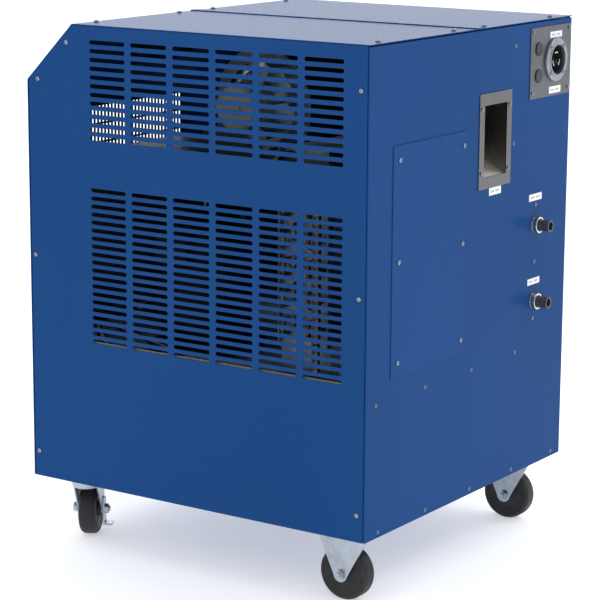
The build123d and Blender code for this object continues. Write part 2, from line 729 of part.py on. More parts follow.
def scroll_shell(side_on):
    """Return a sheet scroll of the blower's width on the plane of its left side."""
    outside = extrude(side_on * scroll_outline(0), amount=BLOWER_W, dir=side_on.z_dir)
    inner_plane = side_on.offset(BLOWER_SHEET)
    inner_w = BLOWER_W - 2 * BLOWER_SHEET
    inside = extrude(inner_plane * scroll_outline(BLOWER_SHEET), amount=inner_w, dir=side_on.z_dir)
    eye = side_on * Cylinder(
        EYE_R, BLOWER_W, align=(Align.CENTER, Align.CENTER, Align.MIN)
    )
    mouth = side_on * block(-140, -108, -106, -48, BLOWER_SHEET, BLOWER_W - BLOWER_SHEET)
    return outside - inside - eye - mouth


def scroll_outline(inset):
    """Return the scroll outline: a growing spiral over the top, closed by the outlet duct."""
    points = []
    for k in range(VOLUTE_STEPS + 1):
        angle = math.radians(180.0 - 270.0 * k / VOLUTE_STEPS)
        radius = VOLUTE_START_R + VOLUTE_GROWTH * k / VOLUTE_STEPS - inset
        points.append((radius * math.cos(angle), radius * math.sin(angle)))
    spiral = Spline(*points)
    outlet_x = -124.0 + inset
    floor_y = points[-1][1]
    roof_y = -46.0 - inset
    duct = Polyline(points[-1], (outlet_x, floor_y), (outlet_x, roof_y), (points[0][0], roof_y), points[0])
    return make_face(Curve() + [spiral, duct])


FAN_R = 76.0
FAN_W = 140.0
FAN_BLADES = 30
SHAFT_R = 6.0


def blower_wheel():
    """Return the forward-curved fan wheel on its shaft."""
    x, y, z = BLOWER_CENTRE
    along_x = Plane(origin=(x - FAN_W / 2, y, z), x_dir=REARWARD, z_dir=(1, 0, 0))
    blade_arc = Circle(20.0) - Circle(18.8)
    blade = Pos(FAN_R - 17.0, 9.0) * blade_arc & rectangle(FAN_R - 16.0, FAN_R - 1.0, 0, 40)
    bottom = (Align.CENTER, Align.CENTER, Align.MIN)
    wheel = Pos(0, 0, FAN_W / 2 - 1) * Cylinder(FAN_R, 2.0, align=bottom)
    for end in (0, FAN_W - 3.0):
        wheel += Pos(0, 0, end) * (
            Cylinder(FAN_R, 3.0, align=bottom) - Cylinder(FAN_R - 13.0, 3.0, align=bottom)
        )
    for k in range(FAN_BLADES):
        wheel += Rot(0, 0, 360.0 / FAN_BLADES * k) * extrude(blade, amount=FAN_W, dir=(0, 0, 1))
    wheel += Pos(0, 0, FAN_W / 2 - 18) * Cylinder(16.0, 36.0, align=bottom)
    shaft_length = MOTOR_X[0] + 30.0 - x
    wheel += Pos(0, 0, FAN_W / 2) * Cylinder(SHAFT_R, shaft_length, align=bottom)
    return along_x * wheel


MOTOR_X = (182.0, 250.0)
MOTOR_R = 42.0
BAND_W = 12.0
ARM_FOOT_R = EYE_R + 12.0


def blower_motor():
    """Return the blower motor, its belly band and the three arms that hold it to the housing."""
    x0, x1 = MOTOR_X
    x, y, z = BLOWER_CENTRE
    motor = rod((x0, y, z), (1, 0, 0), MOTOR_R, x1 - x0)
    motor = fillet(motor.edges(), 9.0)
    groove = rod((x0 + 14.0, y, z), (1, 0, 0), MOTOR_R + 1, 2.5)
    motor -= groove - rod((x0 + 14.0, y, z), (1, 0, 0), MOTOR_R - 1.5, 2.5)
    motor += rod((x0 + 24.0, y, z), (1, 0, 0), MOTOR_R + 1.8, BAND_W)
    motor += rod((x1 - 1, y, z), (1, 0, 0), 12.0, 4.0)
    motor -= rod((x0 - 1.0, y, z), (1, 0, 0), SHAFT_R + RUNNING, 32.0)
    housing_face = Plane(origin=(x + BLOWER_W / 2, y, z), x_dir=REARWARD, z_dir=(1, 0, 0))
    reach = x0 + 30.0 - (x + BLOWER_W / 2)
    arm = block(MOTOR_R, ARM_FOOT_R, -7, 7, reach - 3.0, reach)
    arm += block(ARM_FOOT_R - 3.0, ARM_FOOT_R, -7, 7, 0, reach)
    for k in range(3):
        motor += housing_face * (Rot(0, 0, 60.0 + 120.0 * k) * arm)
    return motor


def contactor():
    """Return the compressor contactor on the upper partition, with its terminal screws."""
    body = block(-168.0, -121.0, 60.0, 130.0, 690.0, 775.0)
    body -= block(-169.0, -150.0, 50.0, 140.0, 684.0, 706.0)
    body -= block(-169.0, -150.0, 50.0, 140.0, 759.0, 781.0)
    for k in range(3):
        for z in (698.0, 767.0):
            body += rod((-151.0, 73.0 + 22 * k, z), (-1, 0, 0), 4.0, 6.0)
    return body


def run_capacitor():
    """Return the motor run capacitor and the strap that holds it."""
    can = rod((-150.0, -60.0, 640.0), UP, 24.0, 95.0)
    can = fillet(can.edges(), 3.0)
    can += block(-160, -154, -70, -50, 733.0, 745.0)
    can += block(-146, -140, -70, -50, 733.0, 745.0)
    return can + block(-127.0, -121.0, -90.0, -30.0, 680.0, 692.0)


def condensate_pump():
    """Return the condensate pump: a reservoir with its pump head and outlet spout."""
    reservoir = block(-140, 60, -60, 60, 3.0, 98.0)
    reservoir = fillet(reservoir.edges().filter_by(Axis.Z), 14.0)
    head = rod((-40, 0, 98.0), UP, 42.0, 64.0)
    head = fillet(head.edges().group_by(Axis.Z)[-1], 8.0)
    spout = rod((30, 0, 98.0), UP, 7.0, 26.0)
    return reservoir + head + spout


# Casters

PLATE_L = 114.3
PLATE_W = 101.6
PLATE_T = 3.0
BOLT_SPACING = (46.0, 33.4)
LEG_GAP = 20.5
LEG_T = 2.5
NUT_T = 6.0


def caster_places():
    """Return each caster's side and the centre of its plate."""
    places = []
    for side, sx in SIDES.items():
        places.append((side, (sx * CASTER_X, CASTER_Y)))
        places.append((side, (sx * CASTER_X, -CASTER_Y)))
    return places


CASTER_BOLTS = [
    ((x + i * BOLT_SPACING[1], y + j * BOLT_SPACING[0], -PLATE_T), (0, 0, -1))
    for _, (x, y) in caster_places()
    for i in (1, -1)
    for j in (1, -1)
]


def caster_plate(x, y):
    """Return a caster's top plate with four bolt holes."""
    plate = block(x - PLATE_W / 2, x + PLATE_W / 2, y - PLATE_L / 2, y + PLATE_L / 2, -PLATE_T, 0)
    return drill(fillet(plate.edges().filter_by(Axis.Z), 8.0), CASTER_BOLTS, 4.3, 12.0)


def rigid_fork(x, y):
    """Return a rigid fork: a top plate and two tapering legs with a folded rib on each edge."""
    half_top = 54.0
    flat = 10.5
    fold = 6.0
    tip_r = 13.5
    outline = Polygon(
        (-half_top, -PLATE_T), (half_top, -PLATE_T), (tip_r, AXLE_Z - 2), (-tip_r, AXLE_Z - 2),
        align=None,
    ) + Pos(0, AXLE_Z) * Circle(tip_r)
    fork = caster_plate(x, y)
    for sx in (1, -1):
        section = Polygon(
            (LEG_GAP + LEG_T, -flat), (LEG_GAP + LEG_T, flat),
            (LEG_GAP + LEG_T - fold, half_top), (LEG_GAP - fold, half_top),
            (LEG_GAP, flat), (LEG_GAP, -flat),
            (LEG_GAP - fold, -half_top), (LEG_GAP + LEG_T - fold, -half_top),
            align=None,
        )
        if sx < 0:
            section = mirror(section, about=Plane.YZ)
        bent = extrude(Pos(x, y, AXLE_Z - tip_r - 1) * section, amount=-AXLE_Z + tip_r + 1 - PLATE_T)
        plane = Plane(origin=(x, y, 0), x_dir=REARWARD, z_dir=(sx, 0, 0))
        drawn = outline if sx > 0 else mirror(outline, about=Plane.YZ)
        profile = extrude(plane * drawn, amount=40.0, dir=Vector(sx, 0, 0))
        fork += bent & profile
    return fork - rod((x - 40, y, AXLE_Z), (1, 0, 0), AXLE_R + RUNNING, 80.0)


def axle(length):
    """Return an axle bolt along X, centred, with a hexagon head at one end and a nut at the other."""
    half = length / 2
    bolt = rod((-half - 3, 0, 0), (1, 0, 0), AXLE_R, length + 6 + NUT_T)
    hexagon = RegularPolygon(8.0, 6, major_radius=False)
    head = extrude(Plane(origin=(half, 0, 0), z_dir=(1, 0, 0)) * hexagon, amount=NUT_T)
    nut = extrude(Plane(origin=(-half, 0, 0), z_dir=(-1, 0, 0)) * hexagon, amount=NUT_T)
    return fillet((bolt + head + nut).edges().filter_by(GeomType.CIRCLE).group_by(Axis.X)[0], 0.8)


def wheel():
    """Return a caster wheel about the X axis: rounded tread, dished faces and a hub."""
    half = WHEEL_W / 2
    shoulder = 9.0
    hub_half = LEG_GAP - 1.0
    bore = AXLE_R + RUNNING
    right = Polyline(
        (hub_half, bore), (hub_half, 13.0), (half - 4.0, 15.0), (half - 4.0, 32.0), (half, 34.0),
        (half, WHEEL_R - shoulder),
    )
    arc = ThreePointArc(
        (half, WHEEL_R - shoulder),
        (half - shoulder * (1 - math.sqrt(0.5)), WHEEL_R - shoulder * (1 - math.sqrt(0.5))),
        (half - shoulder, WHEEL_R),
    )
    half_outline = Curve() + [right, arc]
    left = mirror(half_outline, about=Plane.YZ)
    joins = [
        Line((half - shoulder, WHEEL_R), (-half + shoulder, WHEEL_R)),
        Line((-hub_half, bore), (hub_half, bore)),
    ]
    profile = make_face(Curve() + [half_outline, left] + joins)
    return revolve(profile, axis=Axis.X)


def swivel_place(side):
    """Return the place of a swivel caster: its kingpin, turned to its heading at rest."""
    return Pos(SIDES[side] * CASTER_X, -CASTER_Y, 0) * Rot(0, 0, SWIVEL_HEADING[side])


RACE_R = 26.0
RACE_BOTTOM = -9.7
CROWN_TOP = -10.0
CROWN_T = 3.0
CUP_H = 15.0
KINGPIN_R = 6.0


def swivel_plate(side):
    """Return a swivel caster's fixed half: top plate, ball race and riveted kingpin."""
    x, y = SIDES[side] * CASTER_X, -CASTER_Y
    plate = caster_plate(x, y)
    race = rod((x, y, -PLATE_T), (0, 0, -1), RACE_R, -PLATE_T - RACE_BOTTOM)
    race = fillet(race.edges().group_by(Axis.Z)[0], 1.5)
    pin = rod((x, y, -PLATE_T), (0, 0, -1), KINGPIN_R, 16.0)
    head = rod((x, y, CROWN_TOP - CROWN_T - 0.3), (0, 0, -1), 11.0, 4.0)
    head = fillet(head.edges().group_by(Axis.Z)[0], 1.5)
    return plate + race + pin + head


def swivel_fork(side):
    """Return a swivel fork: a crown under the race and two legs that trail to the axle."""
    half_w = LEG_GAP + LEG_T
    front_x, back_x = -27.0, TRAIL + 14.0
    crown = block(front_x, back_x, -half_w, half_w, CROWN_TOP - CROWN_T, CROWN_TOP)
    crown = fillet(crown.edges().filter_by(Axis.Z), 9.0)
    cup = rod((0, 0, CROWN_TOP), (0, 0, -1), RACE_R, CUP_H)
    cup = fillet(cup.edges().group_by(Axis.Z)[0], 3.0)
    crown += cup - rod((0, 0, CROWN_TOP - CROWN_T), (0, 0, -1), RACE_R - 5.0, CUP_H)
    outline = Polygon(
        (front_x + 9, CROWN_TOP), (back_x - 9, CROWN_TOP), (TRAIL + 11.4, AXLE_Z + 2),
        (TRAIL - 11.4, AXLE_Z - 1), align=None,
    ) + Pos(TRAIL, AXLE_Z) * Circle(11.5)
    fork = crown
    for y0 in (LEG_GAP, -LEG_GAP - LEG_T):
        plane = Plane(origin=(0, y0 + LEG_T, 0), x_dir=(1, 0, 0), z_dir=FORWARD)
        fork += extrude(plane * outline, amount=LEG_T, dir=Vector(*FORWARD))
    fork -= rod((0, 0, 0), (0, 0, -1), KINGPIN_R + RUNNING, 30.0)
    fork -= rod((TRAIL, -40, AXLE_Z), REARWARD, AXLE_R + RUNNING, 80.0)
    return swivel_place(side) * fork


LEVER_T = 3.0
LEVER_GAP = 0.3
SWIVEL_NUT_OUT = LEG_GAP + LEG_T + LEVER_T + 2 * LEVER_GAP


def swivel_axle(side):
    """Return a swivel caster's axle bolt, long enough to carry the brake lever."""
    return swivel_place(side) * (Pos(TRAIL, 0, AXLE_Z) * (Rot(0, 0, -90) * axle(2 * SWIVEL_NUT_OUT)))


def brake_lever(side):
    """Return the side brake lever: an arm on the axle with a foot pad turned out at its end."""
    y0 = -(LEG_GAP + LEG_T + LEVER_GAP + LEVER_T)
    arm = Polygon((-7, 22), (7, 22), (10, -30), (-10, -30), align=None)
    plane = Plane(origin=(TRAIL, y0 + LEVER_T, AXLE_Z), x_dir=(1, 0, 0), z_dir=FORWARD)
    lever = extrude(plane * arm, amount=LEVER_T, dir=Vector(*FORWARD))
    pad = block(TRAIL - 10, TRAIL + 10, y0 - 14, y0 + 0.5, AXLE_Z - 30, AXLE_Z - 26)
    lever += pad
    lever -= rod((TRAIL, -60, AXLE_Z), REARWARD, AXLE_R + RUNNING, 60.0)
    return swivel_place(side) * lever


# Controls on the slope

def humidistat_knob():
    """Return the humidity setting knob with its pointer rib and shaft."""
    base = Cylinder(19.0, 3.0, align=(Align.CENTER, Align.CENTER, Align.MIN))
    grip = Pos(0, 0, 3) * Cylinder(14.5, 14.0, align=(Align.CENTER, Align.CENTER, Align.MIN))
    grip = fillet(grip.edges().group_by(Axis.Z)[-1], 1.5)
    knob = base + grip
    for k in range(18):
        knob -= Rot(0, 0, 20 * k) * Pos(15.6, 0, 11) * Cylinder(1.8, 16.0)
    knob += block(-1.2, 1.2, 2.0, 14.0, 16.5, 18.0)
    knob += rod((0, 0, 0), (0, 0, -1), 3.0, 18.0)
    return SLOPE * (Pos(*KNOB_AT, 0.4) * knob)


def humidistat_body():
    """Return the humidistat behind the slope, with a running bore for the knob's shaft."""
    body = block(-24, 24, -24, 24, -34, -SHEET - 0.4)
    body += rod((0, 0, -SHEET - 0.4), UP, 4.8, SHEET - 0.2)
    body -= rod((0, 0, -22), UP, 3.0 + RUNNING, 40.0)
    return SLOPE * (Pos(*KNOB_AT) * body)


ROCKER_PIN_R = 1.5
ROCKER_PIN_Z = -4.0


def switch_bezel():
    """Return the rocker switch's bezel and body."""
    w, h = SWITCH_HOLE
    bezel = block(-w / 2 - 3, w / 2 + 3, -h / 2 - 3, h / 2 + 3, 0, 2.0)
    bezel = fillet(bezel.edges().filter_by(Axis.Z), 2.0)
    bezel += block(-w / 2 + 0.2, w / 2 - 0.2, -h / 2 + 0.2, h / 2 - 0.2, -22, 0.5)
    bezel -= block(-w / 2 + 1.6, w / 2 - 1.6, -h / 2 + 1.6, h / 2 - 1.6, -13, 3)
    bezel -= rod((-w / 2 + 0.8, 0, ROCKER_PIN_Z), (1, 0, 0), ROCKER_PIN_R + RUNNING, w - 1.6)
    return SLOPE * (Pos(*SWITCH_AT) * bezel)


def switch_rocker():
    """Return the rocker: two faces at a shallow angle on a pair of pins."""
    w, h = SWITCH_HOLE
    half_w = w / 2 - 2.0
    reach = h / 2 - 3.8
    outline = Polygon(
        (-reach, -1.5), (-reach, 1.2), (0, 2.0), (reach, 4.2), (reach, -1.0), (0, -9.0), align=None
    )
    plane = Plane(origin=(-half_w, 0, 0), x_dir=REARWARD, z_dir=(1, 0, 0))
    rocker = extrude(plane * outline, amount=2 * half_w, dir=Vector(1, 0, 0))
    pins = rod((-w / 2 + 1.0, 0, ROCKER_PIN_Z), (1, 0, 0), ROCKER_PIN_R, w - 2.0)
    return SLOPE * (Pos(*SWITCH_AT) * (rocker + pins))


def hour_meter():
    """Return the hour meter with its window recess and blank counter drums."""
    w, h = METER_HOLE
    meter = block(-w / 2 - 4, w / 2 + 4, -h / 2 - 4, h / 2 + 4, 0, 3.0)
    meter = fillet(meter.edges().filter_by(Axis.Z), 3.0)
    meter += block(-w / 2 + 0.3, w / 2 - 0.3, -h / 2 + 0.3, h / 2 - 0.3, -30, 0)
    meter -= block(-w / 2 + 3, w / 2 - 3, -5, 5, 1.4, 4)
    for k in range(5):
        meter += block(-14.0 + 5.8 * k, -9.2 + 5.8 * k, -4, 4, 1.0, 2.4)
    return SLOPE * (Pos(*METER_AT) * meter)


def purge_button():
    """Return the sprung button that runs the condensate pump by hand."""
    cap = rod((0, 0, -SHEET - 4.0), UP, BUTTON_R, SHEET + 9.0)
    cap = fillet(cap.edges().group_by(Axis.Z)[-1], 1.5)
    flange = rod((0, 0, -SHEET - 5.3), UP, BUTTON_R + 2.5, 5.0)
    return SLOPE * (Pos(*BUTTON_AT) * (cap + flange))


def build_nodes():
    """Return every node's name and its solid or list of solids."""
    nodes = {
        "base_tray": base_tray(),
        "frame_posts": frame_posts(),
        "rear_panel": rear_panel(),
        "front_panel": front_panel(),
        "control_panel": control_panel(),
        "access_cover": access_cover(),
        "recess_box": recess_box(),
        "power_plate": power_plate(),
        "inlet_flange": inlet_flange(),
        "inlet_insert": inlet_insert(),
        "inlet_blades": inlet_blades(),
        "hole_plugs": hole_plugs(),
        "drain_collars": drain_collars(),
        "drain_stubs": drain_stubs(),
        "label_plates": label_plates(),
        "cover_screws": set_in(pan_screw(), COVER_SCREWS),
        "plate_screws": set_in(pan_screw(3.3), PLATE_SCREWS + RECESS_SCREWS + INLET_SCREWS),
        "rear_rivets": set_in(dome_rivet(), RIVETS),
        "partitions": partitions(),
        "drain_pan": drain_pan(),
        "blower_deck": blower_deck(),
        "air_filter": air_filter(),
        "evaporator_fins": fin_block(COIL_SPLIT_Y + 2, COIL_Y[1] - 4),
        "condenser_fins": fin_block(COIL_Y[0] + 4, COIL_SPLIT_Y - 2),
        "coil_end_plates": coil_end_plates(),
        "coil_bends": coil_bends(),
        "coil_headers": coil_headers(),
        "compressor": compressor(),
        "refrigerant_lines": refrigerant_lines(),
        "blower_housing": blower_housing(),
        "blower_wheel": blower_wheel(),
        "blower_motor": blower_motor(),
        "contactor": contactor(),
        "run_capacitor": run_capacitor(),
        "condensate_pump": condensate_pump(),
        "caster_bolts": set_in(hex_bolt(13.0, 5.0, 4.0, 10.0), CASTER_BOLTS),
        "rigid_forks": [rigid_fork(sx * CASTER_X, CASTER_Y) for sx in (1, -1)],
        "swivel_plates": [swivel_plate(side) for side in SIDES],
        "humidistat_knob": humidistat_knob(),
        "humidistat_body": humidistat_body(),
        "switch_bezel": switch_bezel(),
        "switch_rocker": switch_rocker(),
        "hour_meter": hour_meter(),
        "purge_button": purge_button(),
    }
    panel_places = FRONT_SCREWS
    top_screw = pan_screw(4.4, TOP_SCREW_HEAD_H)
    rear_axle = axle(2 * (LEG_GAP + LEG_T))
    nodes["rigid_axles"] = [Pos(sx * CASTER_X, CASTER_Y, AXLE_Z) * rear_axle for sx in (1, -1)]
    for side, sx in SIDES.items():
        panel_places = panel_places + SIDE_SCREWS[side]
        nodes[f"side_panel_{side}"] = side_panel(side)
        nodes[f"top_panel_{side}"] = top_panel(side)
        nodes[f"rear_wheel_{side}"] = Pos(sx * CASTER_X, CASTER_Y, AXLE_Z) * wheel()
        front_wheel = Pos(TRAIL, 0, AXLE_Z) * (Rot(0, 0, 90) * wheel())
        nodes[f"front_wheel_{side}"] = swivel_place(side) * front_wheel
        nodes[f"swivel_fork_{side}"] = swivel_fork(side)
        nodes[f"swivel_axle_{side}"] = swivel_axle(side)
        nodes[f"brake_lever_{side}"] = brake_lever(side)
    top_places = TOP_SCREWS["right"] + TOP_SCREWS["left"]
    nodes["panel_screws"] = set_in(pan_screw(), panel_places) + set_in(top_screw, top_places)
    return nodes


def export_nodes(nodes):
    """Move each node so that the origin is on the floor under the machine, and write it."""
    os.makedirs("parts", exist_ok=True)
    place = Pos(0, FOOTPRINT_SHIFT, CASTER_H)
    for name, shape in nodes.items():
        solids = shape if isinstance(shape, list) else [shape]
        moved = [place * solid for piece in solids for solid in piece.solids()]
        export_step(moved[0] if len(moved) == 1 else Compound(children=moved), f"parts/{name}.step")


export_nodes(build_nodes())
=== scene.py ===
"""Looks of the portable industrial dehumidifier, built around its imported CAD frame.

Everything is in metres in the row frame: +Z up, +X the right slotted side, +Y the rear panel.
"""
import json
import math

import bmesh
import bpy
from mathutils import Matrix, Vector


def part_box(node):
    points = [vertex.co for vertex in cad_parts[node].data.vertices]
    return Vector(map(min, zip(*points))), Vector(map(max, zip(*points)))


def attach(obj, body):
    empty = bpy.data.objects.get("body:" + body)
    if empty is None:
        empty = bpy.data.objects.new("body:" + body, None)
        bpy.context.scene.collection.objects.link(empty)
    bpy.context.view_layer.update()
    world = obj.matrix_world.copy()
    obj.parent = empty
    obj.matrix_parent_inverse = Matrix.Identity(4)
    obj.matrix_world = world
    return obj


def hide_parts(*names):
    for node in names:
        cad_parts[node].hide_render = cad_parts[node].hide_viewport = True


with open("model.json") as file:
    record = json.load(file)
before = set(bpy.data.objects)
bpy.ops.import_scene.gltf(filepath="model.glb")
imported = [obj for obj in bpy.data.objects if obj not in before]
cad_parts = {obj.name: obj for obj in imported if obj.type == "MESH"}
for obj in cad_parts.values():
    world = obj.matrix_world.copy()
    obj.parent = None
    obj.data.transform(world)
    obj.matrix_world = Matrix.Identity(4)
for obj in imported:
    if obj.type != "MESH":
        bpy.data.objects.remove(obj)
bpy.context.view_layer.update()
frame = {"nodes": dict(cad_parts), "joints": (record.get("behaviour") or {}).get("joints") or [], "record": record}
MM = 0.001

# Camera, fitted to the object's own corners
CAMERA_AT = Vector((3.40507, 2.27477, 1.30936))
CAMERA_AZIMUTH = math.radians(124.004)
CAMERA_ELEVATION = math.radians(12.035)
CAMERA_ROLL = math.radians(0.341)
CAMERA_LENS = 137.19
CAMERA_SENSOR = 36.0
CAMERA_REACH = 60.0

# Stage
WORLD_TOWARD = (-0.80, -0.54, 0.26)    # where the surround is brightest, beyond the object
WORLD_DIM_UP_TO = 0.25                 # cosine from that direction where the surround starts to brighten
WORLD_BRIGHT_FROM = 0.97
WORLD_DIM = 0.8
WORLD_BRIGHT = 1.65
WORLD_TINT = (0.96, 0.98, 1.0, 1.0)
WHITE = (1.0, 1.0, 1.0, 1.0)
FLOOR_REACH = 14.0
FLOOR_TONE = (0.92, 0.94)              # darkest and lightest shade of its slow drift
FLOOR_GLOW = 0.42
LIGHTS = {                             # place, target, size in metres, power in watts
    "key": ((-2.6, 2.6, 3.4), (0, 0.2, 0.5), 1.2, 25.0),
    "fill": ((3.6, 3.2, 3.0), (0, 0, 0.5), 1.4, 8.0),
}


# Materials

class Paint:
    """A Principled material with the small helpers that every finish below uses."""

    def __init__(self, name, color, roughness, metallic=0.0, specular=0.5):
        self.material = bpy.data.materials.new(name)
        self.material.use_nodes = True
        self.nodes = self.material.node_tree.nodes
        self.links = self.material.node_tree.links
        self.shader = self.nodes["Principled BSDF"]
        self.place = self.nodes.new("ShaderNodeTexCoord").outputs["Object"]
        self.set("Base Color", (*color, 1.0))
        self.set("Roughness", roughness)
        self.set("Metallic", metallic)
        self.set("Specular IOR Level", specular)

    def set(self, socket, value):
        self.shader.inputs[socket].default_value = value

    def stretched(self, scale):
        """The object's coordinates, scaled by an amount for each axis."""
        mapping = self.nodes.new("ShaderNodeMapping")
        mapping.inputs["Scale"].default_value = scale
        self.links.new(self.place, mapping.inputs["Vector"])
        return mapping.outputs["Vector"]

    def noise(self, scale, detail=3.0, roughness=0.5, stretch=None):
        texture = self.nodes.new("ShaderNodeTexNoise")
        texture.inputs["Scale"].default_value = scale
        texture.inputs["Detail"].default_value = detail
        texture.inputs["Roughness"].default_value = roughness
        source = self.stretched(stretch) if stretch else self.place
        self.links.new(source, texture.inputs["Vector"])
        return texture.outputs["Fac"]

    def cells(self, scale):
        texture = self.nodes.new("ShaderNodeTexVoronoi")
        texture.inputs["Scale"].default_value = scale
        self.links.new(self.place, texture.inputs["Vector"])
        return texture

    def ramp(self, fac, stops):
        ramp = self.nodes.new("ShaderNodeValToRGB")
        elements = ramp.color_ramp.elements
        while len(elements) < len(stops):
            elements.new(0.5)
        for element, (position, color) in zip(elements, stops):
            element.position = position
            element.color = (*color, 1.0)
        self.links.new(fac, ramp.inputs["Fac"])
        return ramp.outputs["Color"]

    def spread(self, fac, low, high, start=0.3, end=0.7):
        """Map a texture's middle values onto a range."""
        remap = self.nodes.new("ShaderNodeMapRange")
        remap.inputs["From Min"].default_value = start
        remap.inputs["From Max"].default_value = end
        remap.inputs["To Min"].default_value = low
        remap.inputs["To Max"].default_value = high
        self.links.new(fac, remap.inputs["Value"])
        return remap.outputs["Result"]

    def color(self, fac, low, high, start=0.3, end=0.7):
        self.links.new(self.ramp(fac, ((start, low), (end, high))), self.shader.inputs["Base Color"])

    def rough(self, fac, low, high):
        self.links.new(self.spread(fac, low, high), self.shader.inputs["Roughness"])

    def bump(self, fac, strength, distance):
        bump = self.nodes.new("ShaderNodeBump")
        bump.inputs["Strength"].default_value = strength
        bump.inputs["Distance"].default_value = distance
        self.links.new(fac, bump.inputs["Height"])
        previous = self.shader.inputs["Normal"]
        if previous.is_linked:
            self.links.new(previous.links[0].from_socket, bump.inputs["Normal"])
        self.links.new(bump.outputs["Normal"], previous)


def shade(color, factor):
    return tuple(min(1.0, c * factor) for c in color)


def powder_coat(name, color):
    """Smooth gloss powder coat: faint orange peel, slow drift of shade."""
    p = Paint(name, color, 0.26, specular=PAINT_GLOSS)
    p.color(p.noise(2.2, 2.0), shade(color, 0.94), shade(color, 1.06))
    p.rough(p.noise(320.0, 2.0), 0.24, 0.29)
    p.bump(p.noise(620.0, 2.0), 0.01, 0.0002)
    return p.material


def brushed_metal(name, color, stretch, roughness=(0.28, 0.42), tone=0.12):
    """Metal brushed along the axis with the small stretch."""
    p = Paint(name, color, roughness[0], metallic=1.0)
    lines = p.noise(1.0, 5.0, 0.7, stretch)
    p.color(lines, shade(color, 1 - tone), shade(color, 1 + tone))
    p.rough(p.noise(14.0, 4.0), *roughness)
    p.bump(lines, 0.12, 0.0002)
    return p.material


def recess_steel_painted_lit(name, painted_lit_inner, outer, rim_y):
    """Brushed stainless, painted lighter and warmer behind the given depth, inside the box that looks into the
    dark: painted light in place of the light that reaches in there.
    """
    p = Paint(name, outer, 0.35, metallic=1.0)
    split = p.nodes.new("ShaderNodeSeparateXYZ")
    p.links.new(p.place, split.inputs["Vector"])
    # Painted light mask: 0 inside the box behind the rim, which takes the lighter inner colour, 1 on the flange
    depth = p.spread(split.outputs["Y"], 0.0, 1.0, rim_y - 2 * MM, rim_y)
    lines = p.noise(1.0, 5.0, 0.7, (700.0, 40.0, 40.0))
    tone = p.nodes.new("ShaderNodeMix")
    tone.data_type = "RGBA"
    p.links.new(depth, tone.inputs["Factor"])
    p.links.new(p.ramp(lines, ((0.3, shade(painted_lit_inner, 0.85)), (0.7, shade(painted_lit_inner, 1.15)))), tone.inputs["A"])
    p.links.new(p.ramp(lines, ((0.3, shade(outer, 0.85)), (0.7, shade(outer, 1.15)))), tone.inputs["B"])
    p.links.new(tone.outputs["Result"], p.shader.inputs["Base Color"])
    p.rough(p.noise(14.0, 4.0), 0.2, 0.32)
    p.bump(lines, 0.12, 0.0002)
    return p.material


def zinc_plate(name, color, roughness=(0.22, 0.4)):
    """Bright zinc: soft cloudy patches and a few fine handling marks."""
    p = Paint(name, color, roughness[0], metallic=1.0)
    p.color(p.noise(60.0, 5.0), shade(color, 0.86), shade(color, 1.08))
    p.rough(p.noise(130.0, 4.0), *roughness)
    p.bump(p.noise(500.0, 3.0), 0.08, 0.0002)
    return p.material


def spangled_zinc(name, color):
    """Hot-dip galvanised sheet with its crystal spangle."""
    p = Paint(name, color, 0.45, metallic=0.85)
    crystals = p.cells(110.0)
    p.links.new(
        p.ramp(crystals.outputs["Color"], ((0.2, shade(color, 0.82)), (0.8, shade(color, 1.12)))),
        p.shader.inputs["Base Color"],
    )
    p.rough(p.noise(40.0, 3.0), 0.38, 0.55)
    p.bump(crystals.outputs["Distance"], 0.05, 0.0003)
    return p.material


def plastic(name, color, roughness, grain=900.0, depth=0.12):
    """Moulded plastic with a fine eroded grain."""
    p = Paint(name, color, roughness, specular=0.4)
    p.color(p.noise(30.0, 3.0), shade(color, 0.9), shade(color, 1.15))
    p.rough(p.noise(25.0, 3.0), roughness * 0.85, roughness * 1.15)
    p.bump(p.noise(grain, 2.0), depth, 0.0003)
    return p.material


def wheel_rubber(name, color):
    """Hard black caster rubber: mould grain, faint dusty scuffs."""
    p = Paint(name, color, 0.5, specular=0.35)
    p.color(p.noise(38.0, 6.0, 0.65), shade(color, 0.8), shade(color, 1.9), 0.35, 0.75)
    p.rough(p.noise(55.0, 4.0), 0.4, 0.66)
    p.bump(p.noise(700.0, 3.0), 0.2, 0.0004)
    p.bump(p.noise(90.0, 3.0), 0.1, 0.0006)
    return p.material


def copper_tube(name, color):
    """Drawn copper with heat-tinted, slightly tarnished patches."""
    p = Paint(name, color, 0.3, metallic=1.0)
    p.color(p.noise(26.0, 5.0, 0.6), shade(color, 0.6), shade(color, 1.15))
    p.rough(p.noise(70.0, 3.0), 0.22, 0.45)
    p.bump(p.noise(300.0, 2.0), 0.06, 0.0002)
    return p.material


def filter_mat(name, color):
    """Open-cell filter mat, rough and fibrous."""
    p = Paint(name, color, 0.95, specular=0.1)
    p.color(p.noise(260.0, 4.0, 0.8), shade(color, 0.4), shade(color, 1.6))
    p.bump(p.noise(420.0, 5.0, 0.8), 0.9, 0.0012)
    p.set("Sheen Weight", 0.2)
    return p.material


def printed_card(name, color):
    """Laminated label stock."""
    p = Paint(name, color, 0.28, specular=0.5)
    p.color(p.noise(120.0, 2.0), shade(color, 0.97), color)
    p.bump(p.noise(350.0, 2.0), 0.05, 0.0002)
    return p.material


